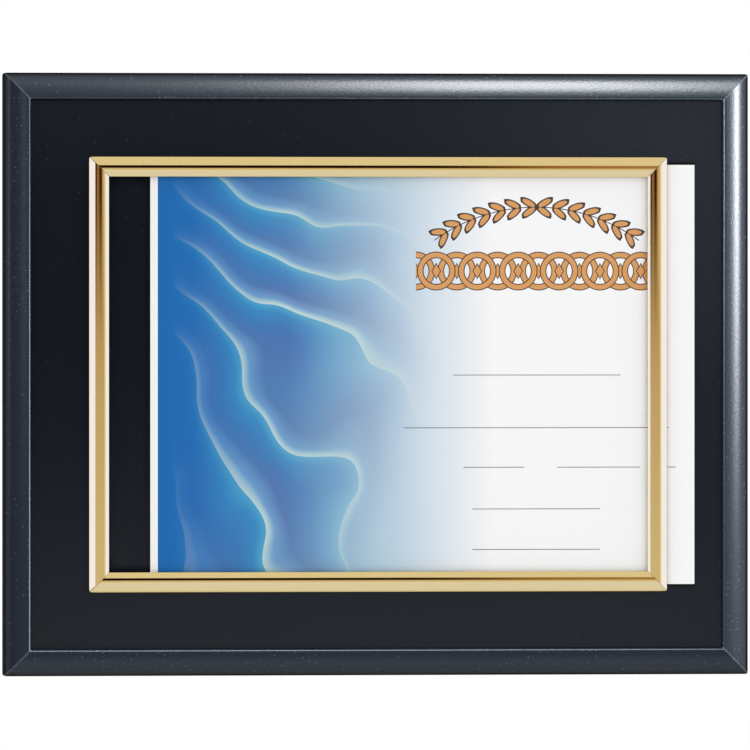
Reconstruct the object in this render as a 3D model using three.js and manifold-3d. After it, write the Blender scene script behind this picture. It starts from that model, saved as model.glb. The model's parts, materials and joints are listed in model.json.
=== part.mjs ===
// Slide-in certificate plaque: a mitred black moulding round a laminated panel, with a gold
// channel frame on the panel that takes a letter-size sheet from its right-hand end.
// Millimetres, +Z up, the front faces -Y. The origin is the middle notch of the top hanger,
// in the plane of the moulding's back.
import * as THREE from "three";
import { mergeVertices } from "three/addons/utils/BufferGeometryUtils.js";
import Module from "manifold-3d";

// Clearances
const SEAT_GAP = 0.3; // between a sheet and what it slides on or stops against
const FIT_GAP = 0.15; // round a fastener or key in its hole, and under a piece that is screwed down
const MITRE_GAP = 0.15; // hairline between two mitred ends

// Sheets that slide in
const SHEET_WIDTH = 279.4;
const SHEET_HEIGHT = 215.9;
const SHEET_PLAY = 0.7; // between the sheet and the two guide rails, both sides together
const PAPER_THICKNESS = 0.3;
const COVER_THICKNESS = 0.5;
const DRAWN_OUT = 22.9; // how far the certificate is drawn out as shown

// Gold channel rails: widths across a rail, heights up from the panel
const RAIL_WIDTH = 10.4;
const RAIL_WALL = 2.3; // outer wall
const RAIL_LIP = 1.2; // inner wall, round the window
const END_COVER = 1.9; // how far the two end rails cover the ends of a seated sheet
const HOOK_WIDTH = 1.1; // ledges that hold the corner keys up in the rail
const HOOK_THICKNESS = 0.5;
const KEY_CHANNEL = 1.5; // height of the channel for the corner keys
const CROWN_WALL = 1.2; // from the channel up to where the bevels meet the crown
const CROWN_RISE = 0.8; // from there up to the crest
const OUTER_BEVEL = 3; // flat bevel outside the crown
const OUTER_BEVEL_DROP = 1.9;
const INNER_BEVEL = 2; // flat bevel at the window
const INNER_BEVEL_DROP = 1.2;
const KEY_LEG = 24; // corner key, from the outer corner of the gold frame

// Black moulding: widths across its face, depths up from its back
const PANEL_MARGIN = 29.4; // panel showing between the gold frame and the moulding
const MOULDING_WIDTH = 13;
const MOULDING_DEPTH = 13.5;
const MOULDING_SIDE = 8.5; // flat outer wall below the rounded face
const SIGHT_BEVEL = 0.9; // small bevel where the face drops to the panel
const SIGHT_BEVEL_DROP = 0.9;
const RABBET_WIDTH = 4; // how far the moulding's lip covers the panel
const LIP_THICKNESS = 1.8; // from the crest of the face back to the rabbet
const CORNER_RADIUS = 1.4; // eased outer corners of the joined moulding

// Panel that the gold frame is screwed to
const PANEL_THICKNESS = 6;
const PANEL_PLAY = 0.8; // between the panel and the rabbet walls, both sides together

// Screws through the panel into the gold rails
const SCREW_RADIUS = 0.7;
const SCREW_BITE = 3; // length in a rail's outer wall
const SILL_SCREW_SHORT = 0.3; // how far a screw stops below the top of the sill
const SCREW_HEAD_RADIUS = 1.6;
const SCREW_HEAD_HEIGHT = 1.1;
const SCREW_SLOT_WIDTH = 0.5;
const SCREW_SLOT_DEPTH = 0.5;
const SCREW_FROM_KEY = 8; // from the end of a corner key to the first screw
const GUIDE_RAIL_SCREWS = 3;
const END_RAIL_SCREWS = 2;

// V-shaped nails across the moulding's mitres
const CORNER_NAIL_STEEL = 0.7;
const CORNER_NAIL_SPLAY = 1; // how far a leg leans away from its rail's length
const CORNER_NAIL_COVER = 1.6; // wood left outside the nail
const CORNER_NAIL_DEPTH = 8;
const CORNER_NAIL_SINK = 0.4; // below the moulding's back

// Flat points that hold the panel in the rabbet
const POINT_STEEL = 0.5;
const POINT_WIDTH = 7;
const POINT_LENGTH = 11;
const POINT_DRIVEN = 4.5; // length in the moulding
const POINT_TIP = 2.5;
const POINT_INSET = 60; // from the end of a moulding to its first point
const LONG_SIDE_POINTS = 3;
const SHORT_SIDE_POINTS = 2;

// Sawtooth hangers
const HANGER_LENGTH = 45;
const HANGER_HEIGHT = 7;
const HANGER_STEEL = 0.8;
const HANGER_RISE = 1.1; // of the toothed middle above the nailed ends
const HANGER_MIDDLE = 27; // length of the raised middle
const HANGER_RAMP = 2;
const NOTCH_PITCH = 3;
const NOTCH_DEPTH = 1.4;
const NOTCHES_EACH_WAY = 3; // on each side of the middle notch
const NAIL_RADIUS = 0.7;
const NAIL_LENGTH = 8;
const NAIL_HEAD_RADIUS = 1.7;
const NAIL_HEAD_HEIGHT = 0.7;

// Facets
const FACE_STEPS = 12;
const ROUND_STEPS = 12;
const DOME_STEPS = 3;

// Worked out from the sizes above
const slotFloor = LIP_THICKNESS; // level with the moulding's crest, so that a sheet slides out over it
const paperBack = slotFloor + SEAT_GAP;
const coverBack = paperBack + PAPER_THICKNESS + SEAT_GAP;
const slotCeiling = coverBack + COVER_THICKNESS + SEAT_GAP;
const channelFloor = slotCeiling + HOOK_THICKNESS;
const channelCeiling = channelFloor + KEY_CHANNEL;
const channelInner = RAIL_WIDTH - RAIL_LIP;
const crownFoot = channelCeiling + CROWN_WALL;
const baseWidth = RAIL_WIDTH - END_COVER - SEAT_GAP; // where a seated sheet stops
const frameWidth = SHEET_WIDTH - 2 * END_COVER + 2 * RAIL_WIDTH;
const frameHeight = SHEET_HEIGHT + SHEET_PLAY + 2 * RAIL_WALL;
const plaqueWidth = frameWidth + 2 * (PANEL_MARGIN + MOULDING_WIDTH);
const plaqueHeight = frameHeight + 2 * (PANEL_MARGIN + MOULDING_WIDTH);
const crestPlace = MOULDING_WIDTH - SIGHT_BEVEL;
const rabbetPlace = MOULDING_WIDTH - RABBET_WIDTH;
const rabbetDepth = MOULDING_DEPTH - LIP_THICKNESS;
const panelFace = rabbetDepth - FIT_GAP;
const panelBack = panelFace - PANEL_THICKNESS;
const pointBack = panelBack - FIT_GAP - POINT_STEEL;
const hangerMiddle = rabbetPlace / 2;
const hangerToothEdge = hangerMiddle + HANGER_HEIGHT / 2;
const hangerNotch = hangerToothEdge - NOTCH_DEPTH;
const hangerNailPlace = (HANGER_LENGTH / 2 + HANGER_MIDDLE / 2 + HANGER_RAMP) / 2;
const cutPast = SEAT_GAP; // how far a cut runs past the face it opens

const FINISH = {
  blackMoulding: { color: 0x2b3138, roughness: 0.38, metalness: 0 },
  blackLaminate: { color: 0x1d2127, roughness: 0.5, metalness: 0 },
  gold: { color: 0xd9b86c, roughness: 0.12, metalness: 1 },
  zincSteel: { color: 0xb4b7ba, roughness: 0.4, metalness: 1 },
  clearPlastic: { color: 0xf4f8fa, roughness: 0.05, metalness: 0, transparent: true, opacity: 0.15 },
  paper: { color: 0xfbfbf9, roughness: 0.8, metalness: 0 },
};

const wasm = await Module();
wasm.setup();

// A closed geometry as a solid that can be cut.
function toSolid(geometry) {
  const loose = geometry.index ? geometry.toNonIndexed() : geometry;
  const bare = new THREE.BufferGeometry();
  bare.setAttribute("position", loose.getAttribute("position"));
  const merged = mergeVertices(bare);
  return new wasm.Manifold(
    new wasm.Mesh({
      numProp: 3,
      vertProperties: merged.getAttribute("position").array,
      triVerts: new Uint32Array(merged.index.array),
    }),
  );
}

function toGeometry(solid) {
  const mesh = solid.getMesh();
  const geometry = new THREE.BufferGeometry();
  geometry.setAttribute("position", new THREE.BufferAttribute(mesh.vertProperties, 3));
  geometry.setIndex(new THREE.BufferAttribute(mesh.triVerts, 1));
  return geometry;
}

function cut(geometry, tools) {
  return toGeometry(tools.reduce((left, tool) => left.subtract(toSolid(tool)), toSolid(geometry)));
}

function common(geometry, other) {
  return toGeometry(toSolid(geometry).intersect(toSolid(other)));
}

function piece(name, geometry, finish) {
  geometry.computeVertexNormals();
  const mesh = new THREE.Mesh(geometry, new THREE.MeshStandardMaterial(finish));
  mesh.name = name;
  return mesh;
}

function outline(points) {
  return new THREE.Shape(points.map(([x, y]) => new THREE.Vector2(x, y)));
}

function extrude(shape, depth) {
  return new THREE.ExtrudeGeometry(shape, { depth, bevelEnabled: false, curveSegments: FACE_STEPS });
}

// Each side of a rectangle has its own axes: X along it, Z inwards from its outer edge, -Y to the front.
// A section is drawn inwards and to the front, a plan along the side and inwards.
const SECTION_TO_SIDE = new THREE.Matrix4().makeBasis(
  new THREE.Vector3(0, 0, 1),
  new THREE.Vector3(0, -1, 0),
  new THREE.Vector3(1, 0, 0),
);
const PLAN_TO_SIDE = new THREE.Matrix4().makeBasis(
  new THREE.Vector3(1, 0, 0),
  new THREE.Vector3(0, 0, 1),
  new THREE.Vector3(0, -1, 0),
);

// A flat piece of the given plan, from one depth in front of the back to another.
function plate(plan, from, to) {
  return extrude(plan, to - from).applyMatrix4(PLAN_TO_SIDE).translate(0, -from, 0);
}

// A round bar from one depth to another, at a place along the side and inwards.
function bar(radius, from, to, x, inwards) {
  const round = new THREE.CylinderGeometry(radius, radius, to - from, ROUND_STEPS);
  return round.translate(x, -(from + to) / 2, inwards);
}

// A section run along a side and mitred: each end is drawn in by its distance from the outer edge.
function mitredRail(section, length) {
  const rail = extrude(section, length);
  const place = rail.getAttribute("position");
  const half = length / 2 - MITRE_GAP / Math.SQRT2;
  for (let i = 0; i < place.count; i++) {
    const end = place.getZ(i) < length / 2 ? -1 : 1;
    place.setZ(i, end * (half - place.getX(i)));
  }
  return rail.applyMatrix4(SECTION_TO_SIDE);
}

// Places along a side, evenly spaced between two insets.
function spaced(count, length, inset) {
  const step = count > 1 ? (length - 2 * inset) / (count - 1) : 0;
  return Array.from({ length: count }, (_, i) => inset - length / 2 + i * step);
}

// A group for each side of a rectangle, and the name of the corner at the end of its own X.
function sidesOf(width, height) {
  const sides = [
    { name: "bottom", corner: "bottom_right", turn: 0 },
    { name: "right", corner: "top_right", turn: -Math.PI / 2 },
    { name: "top", corner: "top_left", turn: Math.PI },
    { name: "left", corner: "bottom_left", turn: Math.PI / 2 },
  ];
  return sides.map(({ name, corner, turn }) => {
    const level = name === "bottom" || name === "top";
    const turned = new THREE.Group();
    const edge = new THREE.Group();
    turned.rotation.y = turn;
    edge.position.z = -(level ? height : width) / 2;
    turned.add(edge);
    return { name, corner, level, turned, edge, length: level ? width : height };
  });
}

// A domed head behind the back and a pointed shank towards the front, drawn round the depth.
function headedPin(radius, length, headRadius, headHeight) {
  const dome = Array.from({ length: DOME_STEPS + 1 }, (_, i) => {
    const angle = ((1 - i / DOME_STEPS) * Math.PI) / 2;
    return new THREE.Vector2(headRadius * Math.cos(angle), -headHeight * Math.sin(angle));
  });
  dome[0].x = 0;
  const shank = [
    new THREE.Vector2(radius, 0),
    new THREE.Vector2(radius, length - 2 * radius),
    new THREE.Vector2(0, length),
  ];
  return new THREE.LatheGeometry([...dome, ...shank], ROUND_STEPS).rotateX(Math.PI);
}

// The moulding: an outer wall, a rounded face up to its crest, a small bevel down to the panel, and a
// rabbet behind the lip.
function mouldingSection() {
  const rise = MOULDING_DEPTH - MOULDING_SIDE;
  const section = new THREE.Shape();
  section.moveTo(0, 0);
  section.lineTo(rabbetPlace, 0);
  section.lineTo(rabbetPlace, rabbetDepth);
  section.lineTo(MOULDING_WIDTH, rabbetDepth);
  section.lineTo(MOULDING_WIDTH, MOULDING_DEPTH - SIGHT_BEVEL_DROP);
  section.absellipse(crestPlace, MOULDING_SIDE, crestPlace, rise, Math.PI / 2, Math.PI, false);
  return section;
}

// The space that the joined moulding fills, with its four corners eased, in one side's axes.
function easedBlock(side) {
  const across = side.level ? plaqueHeight : plaqueWidth;
  const right = side.length / 2 - CORNER_RADIUS;
  const far = across - CORNER_RADIUS;
  const plan = new THREE.Shape();
  plan.absarc(right, CORNER_RADIUS, CORNER_RADIUS, -Math.PI / 2, 0, false);
  plan.absarc(right, far, CORNER_RADIUS, 0, Math.PI / 2, false);
  plan.absarc(-right, far, CORNER_RADIUS, Math.PI / 2, Math.PI, false);
  plan.absarc(-right, CORNER_RADIUS, CORNER_RADIUS, Math.PI, 1.5 * Math.PI, false);
  return plate(plan, -cutPast, MOULDING_DEPTH + cutPast);
}

// A corner nail's V across the mitre at one end of a side, or its slot when it is grown.
function cornerNail(side, end, grow, from, to) {
  const point = rabbetPlace - CORNER_NAIL_COVER + grow;
  const steel = CORNER_NAIL_STEEL + 2 * grow;
  const tail = CORNER_NAIL_COVER - grow;
  const splay = point - CORNER_NAIL_SPLAY;
  const plan = [
    [point, point],
    [tail + steel, splay],
    [tail, splay - steel],
    [point - steel, point - steel],
    [splay - steel, tail],
    [splay, tail + steel],
  ];
  return plate(outline(plan.map(([x, inwards]) => [end * (side.length / 2 - x), inwards])), from, to);
}

function cornerNailSlot(side, end) {
  return cornerNail(side, end, FIT_GAP, -cutPast, CORNER_NAIL_DEPTH + FIT_GAP);
}

// A panel point, or its slot when it is grown: a flat tab whose tip is in the rabbet wall.
function panelPoint(x, grow) {
  const half = POINT_WIDTH / 2 + grow;
  const tip = rabbetPlace - POINT_DRIVEN - grow;
  const shoulder = tip + POINT_TIP;
  const end = rabbetPlace - POINT_DRIVEN + POINT_LENGTH + grow;
  const plan = [[x, tip], [x + half, shoulder], [x + half, end], [x - half, end], [x - half, shoulder]];
  return plate(outline(plan), pointBack - grow, pointBack + POINT_STEEL + grow);
}

function pointPlaces(side) {
  return spaced(side.level ? LONG_SIDE_POINTS : SHORT_SIDE_POINTS, side.length, POINT_INSET);
}

function nailHole(x, from, to) {
  return bar(NAIL_RADIUS + FIT_GAP, from, to, x, hangerMiddle);
}

function moulding(side, nailPlaces) {
  const rail = common(mitredRail(mouldingSection(), side.length), easedBlock(side));
  const slots = [
    ...[-1, 1].map((end) => cornerNailSlot(side, end)),
    ...pointPlaces(side).map((x) => panelPoint(x, FIT_GAP)),
    ...nailPlaces.map((x) => nailHole(x, -cutPast, NAIL_LENGTH)),
  ];
  return piece(`moulding_${side.name}`, cut(rail, slots), FINISH.blackMoulding);
}

// A sawtooth hanger: nailed ends flat on the back, and a raised middle with notches for a wall nail.
function hanger(side, nailPlaces) {
  const end = HANGER_LENGTH / 2;
  const middle = HANGER_MIDDLE / 2;
  const bend = middle + HANGER_RAMP;
  const low = FIT_GAP;
  const high = FIT_GAP + HANGER_RISE;
  const under = [[-end, low], [-bend, low], [-middle, high], [middle, high], [bend, low], [end, low]];
  const over = under.map(([x, y]) => [x, y + HANGER_STEEL]).reverse();
  const strip = extrude(outline([...under, ...over]), HANGER_HEIGHT);
  strip.translate(0, 0, hangerMiddle - HANGER_HEIGHT / 2);
  const behind = -(high + HANGER_STEEL + cutPast);
  const half = NOTCH_PITCH / 2;
  const past = hangerToothEdge + cutPast;
  const notches = Array.from({ length: 2 * NOTCHES_EACH_WAY + 1 }, (_, i) => {
    const x = (i - NOTCHES_EACH_WAY) * NOTCH_PITCH;
    const plan = [[x, hangerNotch], [x + half, hangerToothEdge], [x + half, past]];
    return plate(outline([...plan, [x - half, past], [x - half, hangerToothEdge]]), behind, 0);
  });
  const holes = nailPlaces.map((x) => nailHole(x, behind, 0));
  return piece(`hanger_${side.name}`, cut(strip, [...notches, ...holes]), FINISH.zincSteel);
}

function hangerNail(side, x, i) {
  const pin = headedPin(NAIL_RADIUS, NAIL_LENGTH, NAIL_HEAD_RADIUS, NAIL_HEAD_HEIGHT);
  const nail = piece(`hanger_nail_${side.name}_${i + 1}`, pin, FINISH.zincSteel);
  nail.position.set(x, FIT_GAP + HANGER_STEEL + FIT_GAP, hangerMiddle);
  return nail;
}

// Four mouldings with their corner nails and panel points, and a hanger on the top and on the right, so
// that the plaque hangs either way up.
function mouldingFrame() {
  const group = new THREE.Group();
  for (const side of sidesOf(plaqueWidth, plaqueHeight)) {
    const hangs = side.name === "top" || side.name === "right";
    const nailPlaces = hangs ? [-hangerNailPlace, hangerNailPlace] : [];
    const nail = cornerNail(side, 1, 0, CORNER_NAIL_SINK, CORNER_NAIL_DEPTH);
    side.edge.add(
      moulding(side, nailPlaces),
      piece(`corner_nail_${side.corner}`, nail, FINISH.zincSteel),
      ...pointPlaces(side).map((x, i) =>
        piece(`panel_point_${side.name}_${i + 1}`, panelPoint(x, 0), FINISH.zincSteel),
      ),
      ...nailPlaces.map((x, i) => hangerNail(side, x, i)),
    );
    if (hangs) side.edge.add(hanger(side, nailPlaces));
    group.add(side.turned);
  }
  return group;
}

// A gold rail: a base on the panel, a slot for the sheets, and a crowned top with a channel for the corner
// keys. The guide rails, top and bottom, are open to the window. The stop rail, left, is closed where the
// sheet's end meets it. The bridge rail, right, is the crowned top alone, and its base is a separate sill,
// so that the sheet slides in between the two.
function goldSection(side) {
  const crown = new THREE.Path();
  crown.moveTo(RAIL_WIDTH, crownFoot - INNER_BEVEL_DROP);
  crown.lineTo(RAIL_WIDTH - INNER_BEVEL, crownFoot);
  const crest = (OUTER_BEVEL + RAIL_WIDTH - INNER_BEVEL) / 2;
  crown.quadraticCurveTo(crest, crownFoot + 2 * CROWN_RISE, OUTER_BEVEL, crownFoot);
  crown.lineTo(0, crownFoot - OUTER_BEVEL_DROP);
  const top = crown.getPoints(FACE_STEPS).map((p) => [p.x, p.y]);
  const channel = [
    [RAIL_WALL, channelFloor],
    [RAIL_WALL, channelCeiling],
    [channelInner, channelCeiling],
    [channelInner, channelFloor],
  ];
  if (side.name === "left") {
    const base = [[0, 0], [baseWidth, 0], [baseWidth, slotCeiling], [RAIL_WIDTH, slotCeiling]];
    const section = outline([...base, ...top]);
    section.holes.push(outline(channel));
    return section;
  }
  const slot = [[baseWidth, slotFloor], [RAIL_WALL, slotFloor], [RAIL_WALL, slotCeiling]];
  const base = side.level ? [[0, 0], [baseWidth, 0], ...slot] : [[0, slotCeiling]];
  const outerHook = RAIL_WALL + HOOK_WIDTH;
  const innerHook = channelInner - HOOK_WIDTH;
  return outline([
    ...base,
    [outerHook, slotCeiling],
    [outerHook, channelFloor],
    ...channel,
    [innerHook, channelFloor],
    [innerHook, slotCeiling],
    [RAIL_WIDTH, slotCeiling],
    ...top,
  ]);
}

// Screws stand clear of the corner keys, in the middle of a rail's outer wall or of the sill.
function screwsOf(side) {
  const sill = side.name === "right";
  const count = side.level ? GUIDE_RAIL_SCREWS : END_RAIL_SCREWS;
  const inwards = (sill ? baseWidth : RAIL_WALL) / 2;
  const bite = sill ? slotFloor - SILL_SCREW_SHORT : SCREW_BITE;
  return spaced(count, side.length, KEY_LEG + SCREW_FROM_KEY).map((x) => ({ x, inwards, bite }));
}

function screwHole(screw, from, to) {
  return bar(SCREW_RADIUS + FIT_GAP, from, to, screw.x, screw.inwards);
}

function goldRails(side) {
  const holes = screwsOf(side).map((screw) => screwHole(screw, -cutPast, screw.bite + FIT_GAP));
  const rail = mitredRail(goldSection(side), side.length);
  const name = `gold_rail_${side.name}`;
  if (side.name !== "right") return [piece(name, cut(rail, holes), FINISH.gold)];
  const sillSection = outline([[0, 0], [baseWidth, 0], [baseWidth, slotFloor], [0, slotFloor]]);
  const sill = cut(mitredRail(sillSection, side.length), holes);
  return [piece(name, rail, FINISH.gold), piece("slot_sill", sill, FINISH.gold)];
}

// A flat L in the channels of two rails, which keeps their mitre closed.
function cornerKey(side) {
  const near = RAIL_WALL + FIT_GAP;
  const far = channelInner - FIT_GAP;
  const plan = [[near, near], [KEY_LEG, near], [KEY_LEG, far], [far, far], [far, KEY_LEG], [near, KEY_LEG]];
  const shape = outline(plan.map(([x, inwards]) => [side.length / 2 - x, inwards]));
  const key = plate(shape, channelFloor + FIT_GAP, channelCeiling - FIT_GAP);
  return piece(`corner_key_${side.corner}`, key, FINISH.zincSteel);
}

function railScrew(side, screw, i) {
  const headSeat = FIT_GAP + PANEL_THICKNESS + FIT_GAP;
  const pin = headedPin(SCREW_RADIUS, headSeat + screw.bite, SCREW_HEAD_RADIUS, SCREW_HEAD_HEIGHT);
  const slot = new THREE.BoxGeometry(2 * SCREW_HEAD_RADIUS, 2 * SCREW_SLOT_DEPTH, SCREW_SLOT_WIDTH);
  slot.translate(0, SCREW_HEAD_HEIGHT, 0);
  const mesh = piece(`rail_screw_${side.name}_${i + 1}`, cut(pin, [slot]), FINISH.zincSteel);
  mesh.position.set(screw.x, headSeat, screw.inwards);
  return mesh;
}

function goldFrame() {
  const group = new THREE.Group();
  for (const side of sidesOf(frameWidth, frameHeight)) {
    const screws = screwsOf(side).map((screw, i) => railScrew(side, screw, i));
    side.edge.add(...goldRails(side), cornerKey(side), ...screws);
    group.add(side.turned);
  }
  group.position.y = -(panelFace + FIT_GAP);
  return group;
}

function displayPanel() {
  const width = plaqueWidth - 2 * rabbetPlace - PANEL_PLAY;
  const height = plaqueHeight - 2 * rabbetPlace - PANEL_PLAY;
  const board = new THREE.BoxGeometry(width, PANEL_THICKNESS, height);
  board.translate(0, -(panelFace + panelBack) / 2, 0);
  const holes = sidesOf(frameWidth, frameHeight).flatMap((side) => {
    side.turned.updateMatrixWorld(true);
    return screwsOf(side).map((screw) =>
      screwHole(screw, panelBack - cutPast, panelFace + cutPast).applyMatrix4(side.edge.matrixWorld),
    );
  });
  return piece("display_panel", cut(board, holes), FINISH.blackLaminate);
}

// A loose sheet in the slot: its lower edge is on the bottom rail, and its end is at the stop rail, or as
// far from it as the sheet is drawn out.
function looseSheet(name, back, thickness, drawnOut, finish) {
  const sheet = piece(name, new THREE.BoxGeometry(SHEET_WIDTH, thickness, SHEET_HEIGHT), finish);
  const leftEnd = -frameWidth / 2 + baseWidth + SEAT_GAP + drawnOut;
  const lowerEdge = -frameHeight / 2 + RAIL_WALL + SEAT_GAP;
  const middle = panelFace + FIT_GAP + back + thickness / 2;
  sheet.position.set(leftEnd + SHEET_WIDTH / 2, -middle, lowerEdge + SHEET_HEIGHT / 2);
  return sheet;
}

const plaque = new THREE.Group();
plaque.add(
  mouldingFrame(),
  displayPanel(),
  goldFrame(),
  looseSheet("certificate", paperBack, PAPER_THICKNESS, DRAWN_OUT, FINISH.paper),
  looseSheet("clear_cover", coverBack, COVER_THICKNESS, 0, FINISH.clearPlastic),
);
plaque.position.z = hangerNotch - plaqueHeight / 2;

export default plaque;
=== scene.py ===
"""A slide-in certificate plaque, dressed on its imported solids.

Black lacquered mouldings round a laminated panel, a gold channel frame screwed to the panel, and in its
slot a printed certificate behind a clear cover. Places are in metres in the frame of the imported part,
+Z up, and the front faces -Y. The sizes that the plaque's classes hold are in millimetres.
"""

import json
import logging
import math
from dataclasses import dataclass
from enum import Enum
from functools import partial
from typing import Any, Iterable, Sequence

import bmesh
import bpy
from bmesh.types import BMesh, BMVert
from bpy.types import ID, Material, Mesh, Node, NodeSocket, NodeTree, Object
from mathutils import Matrix, Vector

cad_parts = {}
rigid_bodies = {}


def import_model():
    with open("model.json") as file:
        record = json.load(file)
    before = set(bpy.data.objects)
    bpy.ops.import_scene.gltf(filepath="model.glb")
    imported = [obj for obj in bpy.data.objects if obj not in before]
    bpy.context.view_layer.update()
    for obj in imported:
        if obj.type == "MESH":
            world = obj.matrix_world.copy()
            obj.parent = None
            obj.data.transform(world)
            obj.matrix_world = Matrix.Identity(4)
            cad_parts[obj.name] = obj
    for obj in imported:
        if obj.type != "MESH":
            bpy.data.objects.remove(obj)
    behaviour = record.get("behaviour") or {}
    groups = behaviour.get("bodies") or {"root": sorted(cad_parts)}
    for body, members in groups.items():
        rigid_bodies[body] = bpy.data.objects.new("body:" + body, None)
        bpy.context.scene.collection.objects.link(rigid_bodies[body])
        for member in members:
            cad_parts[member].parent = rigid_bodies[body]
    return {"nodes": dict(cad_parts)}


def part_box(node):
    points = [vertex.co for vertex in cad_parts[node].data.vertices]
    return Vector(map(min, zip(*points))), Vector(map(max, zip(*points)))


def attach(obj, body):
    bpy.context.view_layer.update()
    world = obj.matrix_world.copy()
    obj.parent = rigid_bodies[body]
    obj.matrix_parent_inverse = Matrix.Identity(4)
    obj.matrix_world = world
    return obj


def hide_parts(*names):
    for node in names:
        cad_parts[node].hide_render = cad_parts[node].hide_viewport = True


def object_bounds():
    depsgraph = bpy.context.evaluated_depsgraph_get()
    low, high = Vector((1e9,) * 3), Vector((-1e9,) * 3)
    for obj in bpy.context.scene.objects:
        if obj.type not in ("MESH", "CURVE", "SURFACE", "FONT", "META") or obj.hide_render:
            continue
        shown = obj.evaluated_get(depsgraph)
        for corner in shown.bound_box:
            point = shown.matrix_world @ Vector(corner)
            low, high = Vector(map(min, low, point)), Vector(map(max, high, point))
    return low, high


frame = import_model()
CAD_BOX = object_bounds()

MM = 0.001
WELD = 0.002 * MM
EASE_STEPS = 2
WHITE = "#ffffff"
LOG = logging.getLogger("certificate_plaque")

Corner = tuple[float, float, float]
Colour = tuple[float, float, float, float]
Place = tuple[float, float]
Stops = Sequence[tuple[float, str]]


def linear(colour: str) -> Colour:
    """Turns an sRGB hex colour into the linear colour that a shader takes.

    Args:
        colour: the colour as six hex digits after a number sign.

    Returns:
        Linear red, green, blue and an alpha of 1.
    """
    parts = [int(colour[i:i + 2], 16) / 255 for i in (1, 3, 5)]
    red, green, blue = [p / 12.92 if p <= 0.04045 else ((p + 0.055) / 1.055) ** 2.4 for p in parts]
    return red, green, blue, 1.0


def feed(node: Node, inputs: dict[str, Any] | Sequence[Any]) -> None:
    """Sets or links a node's inputs.

    Args:
        node: the node.
        inputs: what goes into each input, by name or in order: a node, which gives its first output in
            use, an output socket, or a plain value.
    """
    for key, value in inputs.items() if isinstance(inputs, dict) else enumerate(inputs):
        in_use = (s for s in node.inputs if s.enabled and s.name == key)
        socket = next(in_use) if isinstance(key, str) else node.inputs[key]
        if isinstance(value, Node):
            value = next(s for s in value.outputs if s.enabled)
        if isinstance(value, NodeSocket):
            node.id_data.links.new(value, socket)
        else:
            socket.default_value = value


def add_node(tree: NodeTree, kind: str, inputs: dict[str, Any] | Sequence[Any] = (),
             **settings: Any) -> Node:
    """Adds a node with its settings and links.

    Args:
        tree: the node tree to add to.
        kind: the node's type name, or the operation of a math node in capitals.
        inputs: what goes into each input, as feed takes it.
        settings: the node's own properties.

    Returns:
        The new node.
    """
    if kind.isupper():
        kind, settings = "ShaderNodeMath", {"operation": kind}
    node = tree.nodes.new(kind)
    for name, value in settings.items():
        setattr(node, name, value)
    feed(node, inputs)
    return node


def set_ramp(node: Node, stops: Stops) -> Node:
    """Gives a colour ramp its stops.

    Args:
        node: the colour ramp node.
        stops: places from 0 to 1 with their hex colours, in order.

    Returns:
        The same node.
    """
    elements = node.color_ramp.elements
    while len(elements) < len(stops):
        elements.new(1.0)
    for element, (place, colour) in zip(elements, stops):
        element.position = place
        element.color = linear(colour)
    return node


def eased(corners: Sequence[Corner], steps: int = 4) -> list[Vector]:
    """Rounds the corners of a closed outline.

    Args:
        corners: each corner's two coordinates and its radius, in order round the outline.
        steps: how many steps each rounded corner has.

    Returns:
        The outline's points.
    """
    points = []
    for i, (across, front, radius) in enumerate(corners):
        here = Vector((across, front))
        if not radius:
            points.append(here)
            continue
        back = (Vector(corners[i - 1][:2]) - here).normalized()
        on = (Vector(corners[(i + 1) % len(corners)][:2]) - here).normalized()
        half = back.angle(on) / 2
        middle = here + (back + on).normalized() * radius / math.sin(half)
        start = here + back * radius / math.tan(half) - middle
        end = here + on * radius / math.tan(half) - middle
        points += [middle + start.slerp(end, k / steps).normalized() * radius for k in range(steps + 1)]
    return points


class Body(Enum):
    """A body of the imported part, which a piece moves with."""

    PLAQUE = "plaque"
    CERTIFICATE = "certificate"
    COVER = "cover_sheet"


class Slot(Enum):
    """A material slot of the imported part's record."""

    MOULDING = "black_moulding"
    LAMINATE = "black_laminate"
    GOLD = "gold"
    ZINC = "zinc_steel"
    PAPER = "printed_paper"
    CLEAR = "clear_plastic"


class Side(Enum):
    """A side of an upright rectangle, by the turn about Y that brings the bottom side to it."""

    BOTTOM = 0.0
    RIGHT = -math.pi / 2
    TOP = math.pi
    LEFT = math.pi / 2

    @property
    def level(self) -> bool:
        """True for the top and bottom sides."""
        return self in (Side.BOTTOM, Side.TOP)

    @property
    def word(self) -> str:
        """The side's name as the nodes have it."""
        return self.name.lower()


@dataclass(frozen=True)
class Rectangle:
    """An upright rectangle whose four sides each have axes: X along, -Y to the front, Z inwards.

    Attributes:
        low: its lowest corner, in metres.
        high: its highest corner, in metres. A side's depths are measured from its place along Y.
    """

    low: Vector
    high: Vector

    def length(self, side: Side) -> float:
        """How long a side is, in metres."""
        return (self.high - self.low)[0 if side.level else 2]

    def matrix(self, side: Side) -> Matrix:
        """Brings a side's own axes to the frame.

        Args:
            side: which side.

        Returns:
            The matrix from the side's axes, with its outer edge at 0, to the frame.
        """
        across = (self.high - self.low)[2 if side.level else 0]
        middle = (self.low + self.high) / 2
        place = Matrix.Translation((middle.x, self.high.y, middle.z))
        return place @ Matrix.Rotation(side.value, 4, "Y") @ Matrix.Translation((0, 0, -across / 2))


def in_scene(name: str, data: ID) -> Object:
    """Puts a mesh, a lamp or a camera into the scene.

    Args:
        name: the new object's name.
        data: the mesh, lamp or camera.

    Returns:
        The object, at the origin.
    """
    made = bpy.data.objects.new(name, data)
    bpy.context.scene.collection.objects.link(made)
    return made


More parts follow.
